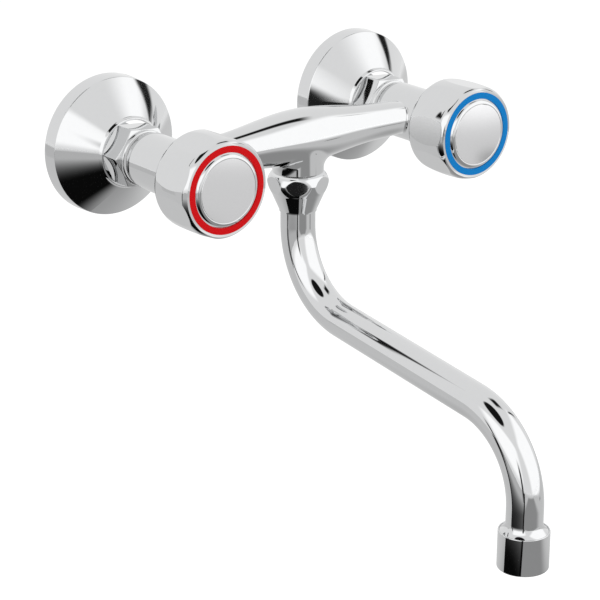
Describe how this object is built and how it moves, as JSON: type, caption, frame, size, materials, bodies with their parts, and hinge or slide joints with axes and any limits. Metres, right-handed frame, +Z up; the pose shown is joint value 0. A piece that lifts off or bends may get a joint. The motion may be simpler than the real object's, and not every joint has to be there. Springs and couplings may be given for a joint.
{
  "type": "two handle kitchen faucet",
  "caption": "Wall-mounted kitchen faucet: faceted round hot and cold handles on compression valves, cone wall flanges and a swivelling S-shaped spout with an aerator.",
  "frame": {"origin": "midpoint between the two wall inlets, on the finished face of the wall", "axes": "+Z up, +Y into the wall, -Y towards the user along the spout at rest, +X from the hot valve to the cold one"},
  "size_m": [0.2176, 0.2429, 0.1948],
  "materials": {
    "chrome": "bright electroplated chrome on brass, mirror polished",
    "satin_chrome": "satin, fine grained",
    "brass": "machined, unplated",
    "steel": "stainless, plain",
    "rubber": "matt black",
    "fibre": "red vulcanised fibre, matt",
    "white_plastic": "moulded, matt",
    "red_plastic": "moulded, glossy",
    "blue_plastic": "moulded, glossy"
  },
  "bodies": {
    "fixed": {"mixer_body": "chrome", "spout_nut": "chrome", "hot_wall_flange": "chrome", "hot_eccentric_union": "brass", "hot_union_nut": "chrome", "hot_union_washer": "fibre", "hot_inlet_nipple": "brass", "hot_bonnet": "brass", "hot_bonnet_washer": "fibre", "cold_wall_flange": "chrome", "cold_eccentric_union": "brass", "cold_union_nut": "chrome", "cold_union_washer": "fibre", "cold_inlet_nipple": "brass", "cold_bonnet": "brass", "cold_bonnet_washer": "fibre"},
    "spout": {"spout_sleeve": "brass", "spout_seals": "rubber", "slip_ring": "white_plastic", "spout_tube": "chrome", "outlet_collar": "chrome", "aerator_housing": "chrome", "aerator_gasket": "rubber", "aerator_insert": "white_plastic", "aerator_mesh": "steel"},
    "hot_grip": {"hot_spindle": "brass", "hot_spindle_seals": "rubber", "hot_circlip": "steel", "hot_handle": "chrome", "hot_handle_screw": "steel", "hot_index_ring": "red_plastic", "hot_cap": "satin_chrome"},
    "hot_plunger": {"hot_piston": "brass", "hot_seat_washer": "rubber", "hot_washer_screw": "steel"},
    "cold_grip": {"cold_spindle": "brass", "cold_spindle_seals": "rubber", "cold_circlip": "steel", "cold_handle": "chrome", "cold_handle_screw": "steel", "cold_index_ring": "blue_plastic", "cold_cap": "satin_chrome"},
    "cold_plunger": {"cold_piston": "brass", "cold_seat_washer": "rubber", "cold_washer_screw": "steel"}
  },
  "joints": [
    {"name": "spout_swivel", "type": "hinge", "parent": "fixed", "child": "spout", "pos_m": [0, -0.0534, -0.02], "axis": [0, 0, 1], "range_deg": [-100, 100]},
    {"name": "hot_handle_turn", "type": "hinge", "parent": "fixed", "child": "hot_grip", "pos_m": [-0.075, -0.085, 0.008], "axis": [0, -1, 0], "range_deg": [0, 960]},
    {"name": "hot_plunger_lift", "type": "slide", "parent": "fixed", "child": "hot_plunger", "axis": [0, -1, 0], "range_m": [0, 0.004]},
    {"name": "cold_handle_turn", "type": "hinge", "parent": "fixed", "child": "cold_grip", "pos_m": [0.075, -0.085, 0.008], "axis": [0, -1, 0], "range_deg": [0, 960]},
    {"name": "cold_plunger_lift", "type": "slide", "parent": "fixed", "child": "cold_plunger", "axis": [0, -1, 0], "range_m": [0, 0.004]}
  ],
  "couplings": [
    {"joint": "hot_plunger_lift", "follows": "hot_handle_turn", "m_per_rad": 0.00023873},
    {"joint": "cold_plunger_lift", "follows": "cold_handle_turn", "m_per_rad": 0.00023873}
  ]
}
